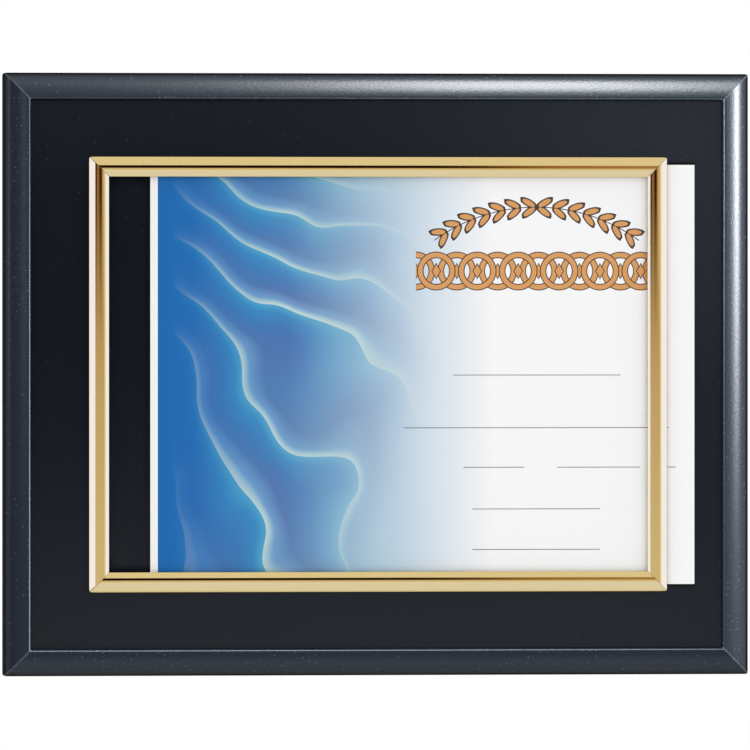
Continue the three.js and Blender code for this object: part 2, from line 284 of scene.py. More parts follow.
def shown(name: str, mesh: Mesh, body: Body, stands_for: Iterable[str]) -> Object:
    """Puts a finished mesh into the scene as a piece of the plaque.

    Args:
        name: the piece's name.
        mesh: its mesh, already in place.
        body: the body that it moves with.
        stands_for: the nodes that it replaces.

    Returns:
        The piece.
    """
    piece = in_scene(name, mesh)
    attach(piece, body.value)
    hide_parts(*stands_for)
    LOG.info("%s: %d faces, moves with %s", name, len(mesh.polygons), body.value)
    return piece


def soften(mesh: Mesh, sharp_degrees: float = 30.0) -> Mesh:
    """Shades a mesh smooth.

    Args:
        mesh: the mesh.
        sharp_degrees: edges sharper than this stay sharp.

    Returns:
        The same mesh.
    """
    mesh.shade_smooth()
    mesh.set_sharp_from_angle(angle=math.radians(sharp_degrees))
    return mesh


def new_tree(name: str, sockets: dict[str, str]) -> tuple[NodeTree, Any]:
    """Starts a geometry tree that takes and gives a geometry.

    Args:
        name: the tree's name.
        sockets: the tree's other inputs, each with the last word of its socket type.

    Returns:
        The tree, and the sockets that give its inputs, by name.
    """
    tree = bpy.data.node_groups.new(name, "GeometryNodeTree")
    tree.interface.new_socket("Geometry", in_out="OUTPUT", socket_type="NodeSocketGeometry")
    for socket, kind in {"Geometry": "Geometry", **sockets}.items():
        tree.interface.new_socket(socket, in_out="INPUT", socket_type=f"NodeSocket{kind}")
    return tree, add_node(tree, "NodeGroupInput").outputs


def end_tree(tree: NodeTree, geometry: Node, materials: Iterable[tuple[NodeSocket, Any]]) -> NodeTree:
    """Ends a geometry tree: instances made real, then the materials.

    Args:
        tree: the tree.
        geometry: the node that gives the geometry.
        materials: each material with the node that picks its faces, or True for all faces.

    Returns:
        The same tree.
    """
    done = add_node(tree, "GeometryNodeRealizeInstances", {"Geometry": geometry})
    for material, faces in materials:
        done = add_node(tree, "GeometryNodeSetMaterial",
                        {"Geometry": done, "Selection": faces, "Material": material})
    add_node(tree, "NodeGroupOutput", {"Geometry": done})
    return tree


def finished(start: Mesh, tree: NodeTree | None = None, values: dict[str, Any] | None = None,
             cutter: Mesh | None = None, ease: float = 0.0, ease_from_degrees: float = 35.0) -> Mesh:
    """Runs a mesh through a geometry tree, a cut and an ease, and gives the result as a plain mesh.

    Args:
        start: the mesh to start from.
        tree: the geometry tree, if there is one.
        values: the tree's inputs, by name.
        cutter: a closed mesh that is cut out.
        ease: width of the ease on sharp edges, in millimetres.
        ease_from_degrees: the least angle of an edge that is eased.

    Returns:
        The new mesh, without empty material slots.
    """
    holder = in_scene("holder", start)
    helpers = [holder]
    if tree is not None:
        nodes = holder.modifiers.new("nodes", "NODES")
        nodes.node_group = tree
        for socket in tree.interface.items_tree:
            if socket.in_out == "INPUT" and socket.name in values:
                nodes[socket.identifier] = values[socket.name]
    if cutter is not None:
        helpers.append(in_scene("tool", cutter))
        cut = holder.modifiers.new("cut", "BOOLEAN")
        cut.object = helpers[-1]
        cut.operation = "DIFFERENCE"
        cut.solver = "MANIFOLD"
    if ease:
        bevel = holder.modifiers.new("ease", "BEVEL")
        bevel.width = ease * MM
        bevel.segments = EASE_STEPS
        bevel.limit_method = "ANGLE"
        bevel.angle_limit = math.radians(ease_from_degrees)
    seen = holder.evaluated_get(bpy.context.evaluated_depsgraph_get())
    result = bpy.data.meshes.new_from_object(seen)
    for index in reversed(range(len(result.materials))):
        if result.materials[index] is None:
            result.materials.pop(index=index)
    for helper in helpers:
        bpy.data.objects.remove(helper)
    return result


def rail_tree(crowding: float = 2.2, back_from: float = 0.9) -> NodeTree:
    """A closed section run along a side and mitred at both ends.

    The section comes as a loop of edges, drawn to the front along X and outwards along Y. Each end is
    drawn in by its distance from the outer edge, and the outer corner is eased. The point attribute
    grain has the place along the rail and round the section, and wear has how near the mitre
    is, for the lacquer's rubbed mitres with their painted highlight. Faces that look back, and those up
    to Bare To round the section, get the back's material.

    Args:
        crowding: the power by which the rings crowd towards the mitres.
        back_from: how far back a face has to look, from 0 to 1, to be one of the back.

    Returns:
        The geometry tree.
    """
    tree, given = new_tree("mitred_rail", {
        "Length": "Float", "Gap": "Float", "Rings": "Int", "Corner Radius": "Float", "Wear Width": "Float",
        "Bare To": "Float", "Face": "Material", "Back": "Material",
    })
    node = partial(add_node, tree)

    # The section, run along a line from -1 to 1
    loop = node("GeometryNodeMeshToCurve", {"Mesh": given["Geometry"]})
    round_place = node("GeometryNodeSplineParameter").outputs["Length"]
    section = node("GeometryNodeStoreNamedAttribute",
                   {"Geometry": loop, "Name": "across", "Value": round_place})
    line = node("GeometryNodeCurvePrimitiveLine", {"Start": (-1, 0, 0), "End": (1, 0, 0)})
    path = node("GeometryNodeResampleCurve", {"Curve": line, "Count": given["Rings"]})
    swept = node("GeometryNodeCurveToMesh", {"Curve": path, "Profile Curve": section, "Fill Caps": True})

    # Each point's place along the rail, short of the mitre
    at = node("ShaderNodeSeparateXYZ", [node("GeometryNodeInputPosition")]).outputs
    half = node("MULTIPLY", [given["Length"], 0.5])
    drawn_in = node("MULTIPLY", [given["Gap"], math.sqrt(0.5)])
    reach = node("SUBTRACT", [node("SUBTRACT", [half, drawn_in]), at["Z"]])
    from_end = node("SUBTRACT", [1.0, node("ABSOLUTE", [at["X"]])])
    to_mitre = node("MULTIPLY", [reach, node("POWER", [from_end, crowding])])
    along = node("SUBTRACT", [reach, to_mitre])

    # The eased outer corner
    radius = given["Corner Radius"]
    short_along = node("MAXIMUM", [node("SUBTRACT", [radius, node("SUBTRACT", [half, along])]), 0.0])
    short_in = node("MAXIMUM", [node("SUBTRACT", [radius, at["Z"]]), 0.0])
    squares = node("ADD", [node("MULTIPLY", [side, side]) for side in (short_along, short_in)])
    over = node("MAXIMUM", [node("DIVIDE", [node("SQRT", [squares]), radius]), 1.0])
    shift = node("SUBTRACT", [1.0, node("DIVIDE", [1.0, over])])
    eased_along = node("SUBTRACT", [along, node("MULTIPLY", [short_along, shift])])
    place = node("ShaderNodeCombineXYZ", [
        node("MULTIPLY", [node("SIGN", [at["X"]]), eased_along]), at["Y"],
        node("MULTIPLY_ADD", [short_in, shift, at["Z"]]),
    ])

    # What the finishes read, and which faces are bare
    # Nearness to the mitre, which the lacquer reads for its rubbed mitres with their painted highlight
    near = node("SUBTRACT", [1.0, node("DIVIDE", [to_mitre, given["Wear Width"]])])
    marked = node("GeometryNodeStoreNamedAttribute",
                  {"Geometry": swept, "Name": "wear", "Value": node("MAXIMUM", [near, 0.0])})
    placed = node("GeometryNodeSetPosition", {"Geometry": marked, "Position": place})
    now = node("ShaderNodeSeparateXYZ", [node("GeometryNodeInputPosition")])
    across = node("GeometryNodeInputNamedAttribute", {"Name": "across"})
    lined = node("GeometryNodeStoreNamedAttribute",
                 {"Geometry": placed, "Name": "grain", "Value": node("ShaderNodeCombineXYZ", [now, across])},
                 data_type="FLOAT_VECTOR")
    facing = node("ShaderNodeSeparateXYZ", [node("GeometryNodeInputNormal")])
    behind = node("GREATER_THAN", [facing.outputs["Y"], back_from])
    bare = node("MAXIMUM", [behind, node("LESS_THAN", [across, given["Bare To"]])])
    return end_tree(tree, lined, [(given["Face"], True), (given["Back"], bare)])


def fastener_tree() -> NodeTree:
    """Copies of one fastener, one on each point, turned about the depth.

    The point attribute turn says how far each is turned, and the tree adds a random part to it.

    Returns:
        The geometry tree.
    """
    tree, given = new_tree(
        "fasteners", {"Pattern": "Object", "Spin": "Float", "Seed": "Int", "Material": "Material"})
    node = partial(add_node, tree)
    pattern = node("GeometryNodeObjectInfo", {"Object": given["Pattern"]})
    spin = node("FunctionNodeRandomValue", {"Min": 0.0, "Max": given["Spin"], "Seed": given["Seed"]},
                data_type="FLOAT")
    turn = node("ADD", [spin, node("GeometryNodeInputNamedAttribute", {"Name": "turn"})])
    copies = node("GeometryNodeInstanceOnPoints", {
        "Points": given["Geometry"], "Instance": pattern.outputs["Geometry"],
        "Rotation": node("ShaderNodeCombineXYZ", {"Y": turn}),
    })
    return end_tree(tree, copies, [(given["Material"], True)])


def loop_mesh(points: Sequence[Vector]) -> Mesh:
    """Makes a section the loop of edges that a rail starts from.

    Args:
        points: the section, inwards and to the front, in millimetres.

    Returns:
        The loop, in metres.
    """
    mesh = bpy.data.meshes.new("section")
    count = len(points)
    edges = [(i, (i + 1) % count) for i in range(count)]
    mesh.from_pydata([(front * MM, -inwards * MM, 0) for inwards, front in points], edges, [])
    return mesh


def merged_copy(node: str, grow: float = 0.0, flat_degrees: float = 1.0) -> BMesh:
    """A node's solid as one welded mesh.

    Args:
        node: the node's name.
        grow: how far each face is moved out, in millimetres.
        flat_degrees: faces that meet flatter than this become one.

    Returns:
        The mesh.
    """
    solid = bmesh.new()
    solid.from_mesh(frame["nodes"][node].data)
    bmesh.ops.remove_doubles(solid, verts=solid.verts, dist=WELD)
    bmesh.ops.dissolve_limit(solid, angle_limit=math.radians(flat_degrees), verts=solid.verts,
                             edges=solid.edges)
    if grow:
        solid.normal_update()
        moves = [vert.normal * vert.calc_shell_factor() * grow * MM for vert in solid.verts]
        for vert, move in zip(solid.verts, moves):
            vert.co += move
    return solid


def square(left: float, right: float, low: float, high: float) -> list[Place]:
    """The four corners of a rectangle, in order."""
    return [(left, low), (right, low), (right, high), (left, high)]


def prism(points: Sequence[Place], low: float, high: float) -> BMesh:
    """A plan in the XZ plane drawn along Y.

    Args:
        points: the plan's points, in metres.
        low: the lower place along Y, in metres.
        high: the higher place along Y, in metres.

    Returns:
        The closed mesh.
    """
    solid = bmesh.new()
    base = solid.faces.new([solid.verts.new((x, low, z)) for x, z in points])
    drawn = bmesh.ops.extrude_face_region(solid, geom=[base])
    moved = [part for part in drawn["geom"] if isinstance(part, BMVert)]
    bmesh.ops.translate(solid, verts=moved, vec=(0, high - low, 0))
    bmesh.ops.recalc_face_normals(solid, faces=solid.faces)
    return solid


def to_mesh(name: str, solid: BMesh, ease: float = 0.0, ease_from_degrees: float = 25.0) -> Mesh:
    """Turns an edited mesh into a plain one.

    Args:
        name: the new mesh's name.
        solid: the edited mesh, which is freed.
        ease: width of the ease on its sharp edges, in millimetres.
        ease_from_degrees: the least angle of an edge that is eased.

    Returns:
        The new mesh.
    """
    if ease:
        least = math.radians(ease_from_degrees)
        sharp = [edge for edge in solid.edges if edge.calc_face_angle(0) > least]
        bmesh.ops.bevel(solid, geom=sharp, offset=ease * MM, segments=EASE_STEPS, profile=0.5,
                        affect="EDGES", clamp_overlap=True)
    mesh = bpy.data.meshes.new(name)
    solid.to_mesh(mesh)
    solid.free()
    return soften(mesh)


@dataclass(frozen=True)
class Finish:
    """What every finish has: a name for the real material, its colour and how rough it is."""

    name: str
    colour: str
    roughness: float

    def made(self) -> Material:
        """Makes the material.

        Returns:
            The material, dressed.
        """
        material = bpy.data.materials.new(self.name)
        material.use_nodes = True
        material.diffuse_color = linear(self.colour)
        surface = material.node_tree.nodes["Principled BSDF"]
        feed(surface, {"Base Color": linear(self.colour), "Roughness": self.roughness})
        self.dress(surface)
        return material

    def dress(self, surface: Node) -> None:
        """Adds what the real surface shows. A plain coat shows nothing more."""


@dataclass(frozen=True)
class Dust:
    """Round dust specks of many sizes, in clusters, drawn a little coarse so that they show.

    Attributes:
        share: how much of a speck's colour shows.
        spacing_mm: between specks.
        cluster_mm: the length over which specks come and go.
        speck_mm: across the largest speck.
        crowd: the levels of the cluster's noise at which specks start, and at which all are there.
    """

    share: float
    spacing_mm: float
    cluster_mm: float
    speck_mm: float = 0.7
    crowd: tuple[float, float] = (0.38, 0.64)

    def on(self, plane: NodeSocket) -> Node:
        """Adds the specks to a material.

        Args:
            plane: the place on the surface, along X and Y, in metres.

        Returns:
            The node that gives the share on a speck and 0 beside it.
        """
        node = partial(add_node, plane.id_data)
        spots = node("ShaderNodeTexVoronoi", {"Vector": plane, "Scale": 1 / (self.spacing_mm * MM)},
                     voronoi_dimensions="2D")
        random = node("ShaderNodeSeparateColor", {"Color": spots.outputs["Color"]})
        radius = node("MULTIPLY", [random, self.speck_mm / self.spacing_mm / 2])
        cluster = node("ShaderNodeTexNoise", {"Vector": plane, "Scale": 1 / (self.cluster_mm * MM)})
        crowded = node("ShaderNodeMapRange",
                       {"Value": cluster, "From Min": self.crowd[0], "From Max": self.crowd[1]})
        kept = node("LESS_THAN", [random.outputs["Green"], crowded])
        specks = node("MULTIPLY", [node("LESS_THAN", [spots, radius]), kept])
        return node("MULTIPLY", [specks, self.share])


@dataclass(frozen=True)
class SatinLacquer(Finish):
    """Black satin lacquer sprayed on a wood moulding.

    The spray leaves a fine orange peel that breaks up its highlights, except on the sight edge, where the
    lacquer draws thin and smooth. Painted shade darkens the face towards the outer wall, which is duller.
    Dust leaves pale specks, and the mitres are rubbed pale, with a painted highlight along them.

    Attributes:
        peel_mm: across one dimple of the peel.
        peel_stretch: how much a dimple is drawn out along the rail, as a share of its scale.
        peel_from_mm: where round the section, from the rabbet, the peel starts and has its full depth.
        rim_mm: where the painted shade on the face starts, and is darkest.
        wall_mm: where the outer wall starts, and is dullest.
    """

    # Pale of the dust specks, and of the mitres: rubbed lacquer with a painted highlight
    rubbed: str = "#7c8288"
    # Painted shade: the face's colour goes towards this near the outer wall
    rim: str = "#07090c"
    sheen: str = "#e8eef8"
    shine: float = 0.36
    peel_mm: float = 0.8
    peel_stretch: float = 0.45
    peel_depth_mm: float = 0.06
    peel_strength: float = 0.6
    gloss_change: float = 0.05
    wall_dullness: float = 0.35
    peel_from_mm: tuple[float, float] = (18.9, 21.2)
    rim_mm: tuple[float, float] = (29.0, 30.5)
    wall_mm: tuple[float, float] = (32.5, 34.0)
    dust: Dust = Dust(0.25, 3.5, 60.0)

    def dress(self, surface: Node) -> None:
        """Adds peel, specks, painted rim shade, the dull wall, and rubbed mitres with a painted highlight.

        Args:
            surface: the material's shader.
        """
        node = partial(add_node, surface.id_data)
        grain = node("ShaderNodeAttribute", attribute_name="grain").outputs["Vector"]
        stretched = node("ShaderNodeMapping", {"Vector": grain, "Scale": (self.peel_stretch, 1.0, 1.0)})
        peel = node("ShaderNodeTexNoise",
                    {"Vector": stretched, "Scale": 1 / (self.peel_mm * MM), "Detail": 2.0})
        round_section = node("ShaderNodeSeparateXYZ", [grain]).outputs["Y"]
        # dark is the painted shade's share near the outer wall; dull is the wall's extra roughness; depth is
        # the peel's
        dark, dull, depth = (
            node("ShaderNodeMapRange", {
                "Value": round_section, "From Min": start * MM, "From Max": end * MM, "To Max": most})
            for (start, end), most in (
                (self.rim_mm, 1.0), (self.wall_mm, self.wall_dullness),
                (self.peel_from_mm, self.peel_depth_mm * MM),
            ))
        # Pale near the mitres, patchy with the peel: rubbed lacquer with a painted highlight; and pale dust
        # specks
        wear = node("ShaderNodeAttribute", attribute_name="wear").outputs["Fac"]
        bare = node("MAXIMUM", [node("MULTIPLY", [wear, peel]), self.dust.on(grain)])
        colour = linear(self.colour)
        # Painted shade first, then the pale specks and the pale mitres with their painted highlight
        for share, over in ((dark, self.rim), (bare, self.rubbed)):
            colour = node("ShaderNodeMix", {"Factor": share, "A": colour, "B": linear(over)},
                          data_type="RGBA")
        rough = node("ShaderNodeMapRange", {
            "Value": peel, "To Min": self.roughness - self.gloss_change,
            "To Max": self.roughness + self.gloss_change})
        bump = node("ShaderNodeBump", {"Height": peel, "Strength": self.peel_strength, "Distance": depth})
        feed(surface, {
            "Base Color": colour, "Roughness": node("ADD", [rough, dull]), "Normal": bump,
            "Specular IOR Level": self.shine, "Specular Tint": linear(self.sheen),
        })


@dataclass(frozen=True)
class BlackLaminate(Finish):
    """Black melamine laminate pressed on the panel.

    The press plate gives an even satin with a slow change of gloss, and dust leaves a few pale specks.
    """

    pale: str = "#8d9297"
    shine: float = 0.25
    mottle_mm: float = 40.0
    gloss_change: float = 0.04
    dust: Dust = Dust(0.14, 8.0, 90.0)

    def dress(self, surface: Node) -> None:
        """Adds specks and a slow change of gloss.

        Args:
            surface: the material's shader.
        """
        node = partial(add_node, surface.id_data)
        place = node("ShaderNodeTexCoord").outputs["Object"]
        plane = node("ShaderNodeMapping", {"Vector": place, "Rotation": (math.pi / 2, 0, 0)}).outputs[0]
        colour = node("ShaderNodeMix", {
            "Factor": self.dust.on(plane), "A": linear(self.colour), "B": linear(self.pale),
        }, data_type="RGBA")
        mottle = node("ShaderNodeTexNoise",
                      {"Vector": place, "Scale": 1 / (self.mottle_mm * MM), "Detail": 3.0})
        rough = node("ShaderNodeMapRange", {
            "Value": mottle, "To Min": self.roughness - self.gloss_change,
            "To Max": self.roughness + self.gloss_change})
        feed(surface, {"Base Color": colour, "Roughness": rough, "Specular IOR Level": self.shine})


@dataclass(frozen=True)
class GoldAnodised(Finish):
    """Bright-dipped aluminium, dyed gold by anodising.

    The drawn section keeps faint die lines along its length, and the dip leaves it almost a mirror.
    """

    die_line_mm: float = 0.25
    die_line_depth_mm: float = 0.01
    die_line_strength: float = 0.05
    stretch: float = 0.01
    gloss_span: tuple[float, float] = (-0.03, 0.05)

    def dress(self, surface: Node) -> None:
        """Adds the die lines.

        Args:
            surface: the material's shader.
        """
        node = partial(add_node, surface.id_data)
        grain = node("ShaderNodeAttribute", attribute_name="grain").outputs["Vector"]
        drawn = node("ShaderNodeMapping", {"Vector": grain, "Scale": (self.stretch, 1.0, 1.0)})
        lines = node("ShaderNodeTexNoise",
                     {"Vector": drawn, "Scale": 1 / (self.die_line_mm * MM), "Detail": 3.0})
        rough = node("ShaderNodeMapRange", {
            "Value": lines, "To Min": self.roughness + self.gloss_span[0],
            "To Max": self.roughness + self.gloss_span[1]})
        bump = node("ShaderNodeBump", {
            "Height": lines, "Strength": self.die_line_strength, "Distance": self.die_line_depth_mm * MM})
        feed(surface, {"Roughness": rough, "Normal": bump, "Metallic": 1.0})


@dataclass(frozen=True)
class ZincPlate(Finish):
    """Bright zinc plating on pressed steel, with a blue-grey spangle and dull patches."""

    spangle: str = "#9ea6ad"
    patch_mm: float = 1.5
    gloss_span: tuple[float, float] = (-0.1, 0.15)

    def dress(self, surface: Node) -> None:
        """Adds the patches.

        Args:
            surface: the material's shader.
        """
        node = partial(add_node, surface.id_data)
        place = node("ShaderNodeTexCoord").outputs["Object"]
        patches = node("ShaderNodeTexNoise",
                       {"Vector": place, "Scale": 1 / (self.patch_mm * MM), "Detail": 4.0})
        colour = node("ShaderNodeMix", {
            "Factor": patches, "A": linear(self.colour), "B": linear(self.spangle)}, data_type="RGBA")
        rough = node("ShaderNodeMapRange", {
            "Value": patches, "To Min": self.roughness + self.gloss_span[0],
            "To Max": self.roughness + self.gloss_span[1]})
        feed(surface, {"Base Color": colour, "Roughness": rough, "Metallic": 1.0})


@dataclass(frozen=True)
class BareFibreboard(Finish):
    """Sawn and sanded fibreboard, left bare where the wall hides it: short fibres in two browns."""

    fibre: str = "#7a5a3c"
    fibre_mm: float = 0.8
    fibre_levels: tuple[float, float] = (0.35, 0.7)
    nap_mm: float = 0.05
    nap_strength: float = 0.3

    def dress(self, surface: Node) -> None:
        """Adds the fibres.

        Args:
            surface: the material's shader.
        """
        node = partial(add_node, surface.id_data)
        place = node("ShaderNodeTexCoord").outputs["Object"]
        fibres = node("ShaderNodeTexNoise", {
            "Vector": place, "Scale": 1 / (self.fibre_mm * MM), "Detail": 6.0, "Roughness": 0.7})
        patchy = node("ShaderNodeMapRange", {
            "Value": fibres, "From Min": self.fibre_levels[0], "From Max": self.fibre_levels[1]})
        colour = node("ShaderNodeMix", {
            "Factor": patchy, "A": linear(self.colour), "B": linear(self.fibre)}, data_type="RGBA")
        bump = node("ShaderNodeBump", {
            "Height": fibres, "Strength": self.nap_strength, "Distance": self.nap_mm * MM})
        feed(surface, {"Base Color": colour, "Normal": bump})


@dataclass(frozen=True)
class ClearPolyester(Finish):
    """Clear polyester sheet: nothing shows but a thin gloss that grows towards a glancing view."""

    index: float = 1.3

    def dress(self, surface: Node) -> None:
        """Lets everything through but the share that the side towards the light mirrors.

        Args:
            surface: the material's shader, which is removed.
        """
        tree = surface.id_data
        node = partial(add_node, tree)
        mirror = node("ShaderNodeBsdfGlossy", {"Roughness": self.roughness, "Color": linear(self.colour)})
        clear = node("ShaderNodeBsdfTransparent")
        # Straight rays meet the far face from inside, where a mirror's share would be far too large
        inside = node("ShaderNodeNewGeometry").outputs["Backfacing"]
        fresnel = node("ShaderNodeFresnel", {"IOR": self.index})
        share = node("MULTIPLY", [fresnel, node("SUBTRACT", [1.0, inside])])
        feed(tree.nodes["Material Output"],
             {"Surface": node("ShaderNodeMixShader", [share, clear, mirror])})
        tree.nodes.remove(surface)


@dataclass(frozen=True)
class PrintedCard(Finish):
    """Coated white card, offset printed, with a smooth low satin from the coating.

    A blue ground with a fan of soft silk folds fades to white. On the white there are a garland of leaves, a
    chain of rings and writing rules, and a black line round the edge is a painted shadow line. Places on
    the sheet are in millimetres from its lower left corner, and the ground's stops are shares of its width.

    Attributes:
        corner: the sheet's lower left corner, in metres.
        edge_lines: the black lines at the lower and upper edge, a painted shadow round the sheet.
        fold_drift: by how many folds the drift moves them.
        fade: between which shares of the width the folds fade, and fade_drift how far the drift moves that.
        rise: between which shares of the width they come up out of the ground.
        lozenge: half its width and half its height.
        leaf: half its length and half its width.
    """

    corner: Place = (0.0, 0.0)
    width: float = 279.4
    height: float = 215.9
    shine: float = 0.3
    # Painted shadow: a black line round the sheet's edge, wider below and above than at the sides
    edge_lines: tuple[float, float] = (1.1, 1.3)
    side_line: float = 0.3
    left_margin: float = 4.1
    rule_thickness: float = 0.4
    rule_colour: str = "#6f6b70"
    ink: str = "#0a0a0b"
    copper: str = "#dfa163"
    copper_line: str = "#4b3b38"
    outline: float = 0.5
    fan_centre: Place = (-75.0, 262.0)
    fold_degrees: float = 9.0
    fold_strength: float = 0.92
    drift_mm: float = 80.0
    fold_drift: float = 3.2
    fade_drift: float = 0.3
    fade: tuple[float, float] = (0.28, 0.66)
    rise: tuple[float, float] = (0.04, 0.25)
    chain_ends: tuple[float, float] = (136.0, 264.0)
    chain_height: float = 160.5
    ring_radius: float = 8.2
    ring_width: float = 2.4
    ring_spacing: float = 21.0
    lozenge: tuple[float, float] = (2.0, 3.4)
    garland_centre: Place = (198.0, 103.0)
    garland_radius: float = 90.0
    garland_reach: float = 56.0
    leaf_spacing: float = 8.0
    leaf: tuple[float, float] = (3.5, 1.3)
    leaf_lift: float = 2.3
    leaf_slant_degrees: float = 32.0

    RULES = (
        (155.0, 241.0, 107.6), (129.6, 266.0, 80.8), (160.4, 191.6, 60.7), (208.5, 251.1, 60.7),
        (256.0, 269.5, 60.7), (165.0, 230.6, 39.5), (165.0, 230.6, 18.9),
    )
    GROUND = (
        (0.0, "#0068b4"), (0.08, "#006cb8"), (0.2, "#4a9bc8"), (0.31, "#8bb9d2"), (0.46, "#c2d7e6"),
        (0.53, "#dee8f1"), (0.63, "#fcfcfd"),
    )
    FOLDS = (
        (0.0, "#e9f0dc"), (0.05, "#c4dfdd"), (0.13, "#7a9fd0"), (0.34, "#4a5ca8"), (0.6, "#2c62b4"),
        (0.85, "#1e80c3"), (1.0, "#48abd2"),
    )

    def dress(self, surface: Node) -> None:
        """Adds the print, layer on layer.

        Args:
            surface: the material's shader.
        """
        node = partial(add_node, surface.id_data)
        place = node("ShaderNodeMapping", {
            "Vector": node("ShaderNodeTexCoord").outputs["Object"], "Scale": (1 / MM,) * 3,
            "Location": (-self.corner[0] / MM, 0, -self.corner[1] / MM),
        })
        across, _, up = node("ShaderNodeSeparateXYZ", [place]).outputs

        def inside(left: float, right: float, low: float, high: float) -> Node:
            """1 inside a rectangle of the sheet."""
            spans = ((across, left, right), (up, low, high))
            return node("MULTIPLY", [node("COMPARE", [at, (a + b) / 2, (b - a) / 2]) for at, a, b in spans])

        def reach(first: Node, second: Node) -> Node:
            """The length of a vector from its two parts."""
            squares = node("MULTIPLY_ADD", [first, first, node("MULTIPLY", [second, second])])
            return node("SQRT", [squares])

        # The blue ground and the fan of folds, which loses itself to the right
        share = node("DIVIDE", [across, self.width])
        ground = set_ramp(node("ShaderNodeValToRGB", [share]), self.GROUND)
        drift = node("ShaderNodeTexNoise", {"Vector": place, "Scale": 1 / self.drift_mm, "Detail": 1.5})
        angle = node("ARCTAN2", [node("SUBTRACT", [up, self.fan_centre[1]]),
                                 node("SUBTRACT", [across, self.fan_centre[0]])])
        turns = node("MULTIPLY_ADD", [
            drift, self.fold_drift, node("DIVIDE", [angle, math.radians(self.fold_degrees)])])
        folds = set_ramp(node("ShaderNodeValToRGB", [node("FRACT", [turns])]), self.FOLDS)
        fading = node("ShaderNodeMapRange", {
            "Value": node("MULTIPLY_ADD", [drift, self.fade_drift, share]), "From Min": self.fade[0],
            "From Max": self.fade[1], "To Min": self.fold_strength, "To Max": 0.0,
        }, interpolation_type="SMOOTHSTEP")
        rising = node("ShaderNodeMapRange",
                      {"Value": share, "From Min": self.rise[0], "From Max": self.rise[1]})
        printed = node("ShaderNodeMix", {
            "Factor": node("MULTIPLY", [fading, rising]), "A": ground, "B": folds}, data_type="RGBA")
        layers = [(node("GREATER_THAN", [across, self.left_margin]), printed)]

        # The chain of rings, two rows of them half a step apart, each with a lozenge
        level = node("SUBTRACT", [up, self.chain_height])
        along = node("SUBTRACT", [across, self.chain_ends[0]])
        half_step, half_width = self.ring_spacing / 2, self.ring_width / 2
        ends = inside(*self.chain_ends, 0.0, self.height)
        for shift in (0.0, half_step):
            aside = node("WRAP", [node("SUBTRACT", [along, shift]), half_step, -half_step])
            away = reach(aside, level)
            lozenge = node("ADD", [
                node("DIVIDE", [node("ABSOLUTE", [way]), size])
                for way, size in zip((aside, level), self.lozenge)])
            for colour, more in ((self.copper_line, self.outline), (self.copper, 0.0)):
                ring = node("COMPARE", [away, self.ring_radius, half_width + more])
                shape = node("MAXIMUM", [ring, node("LESS_THAN", [lozenge, 1.0 + more / 2])])
                layers.append((node("MULTIPLY", [shape, ends]), linear(colour)))

        # The garland, in pairs of leaves along an arc
        aside = node("SUBTRACT", [across, self.garland_centre[0]])
        above = node("SUBTRACT", [up, self.garland_centre[1]])
        turned = node("MULTIPLY", [node("ARCTAN2", [aside, above]), self.garland_radius])
        arc = node("ABSOLUTE", [turned])
        off = node("ABSOLUTE", [node("SUBTRACT", [reach(aside, above), self.garland_radius])])
        step = node("SUBTRACT", [node("WRAP", [arc, self.leaf_spacing, 0.0]), self.leaf_spacing / 2])
        lifted = node("SUBTRACT", [off, self.leaf_lift])
        slant = math.radians(self.leaf_slant_degrees)
        blade = reach(*(
            node("DIVIDE", [node("MULTIPLY_ADD", [step, first, node("MULTIPLY", [lifted, second])]), size])
            for first, second, size in (
                (math.cos(slant), math.sin(slant), self.leaf[0]),
                (-math.sin(slant), math.cos(slant), self.leaf[1]),
            )))
        within = node("LESS_THAN", [arc, self.garland_reach])
        outer = node("LESS_THAN", [blade, 1.0 + self.outline])
        stem = node("LESS_THAN", [off, self.outline / 2])
        for colour, shape in (
            (self.copper_line, node("MAXIMUM", [outer, stem])),
            (self.copper, node("LESS_THAN", [blade, 1.0])),
        ):
            layers.append((node("MULTIPLY", [shape, within]), linear(colour)))

        # The writing rules, and the black line round the edge that is a painted shadow
        half = self.rule_thickness / 2
        for left, right, height in self.RULES:
            layers.append((inside(left, right, height - half, height + half), linear(self.rule_colour)))
        # Painted shadow: black on the outermost strip round the sheet's edge
        low, high = self.edge_lines
        whole = inside(self.side_line, self.width - self.side_line, low, self.height - high)
        layers.append((node("SUBTRACT", [1.0, whole]), linear(self.ink)))
        sheet = linear(self.colour)
        for share, over in layers:
            sheet = node("ShaderNodeMix", {"Factor": share, "A": sheet, "B": over}, data_type="RGBA")
        feed(surface, {"Base Color": sheet, "Specular IOR Level": self.shine})


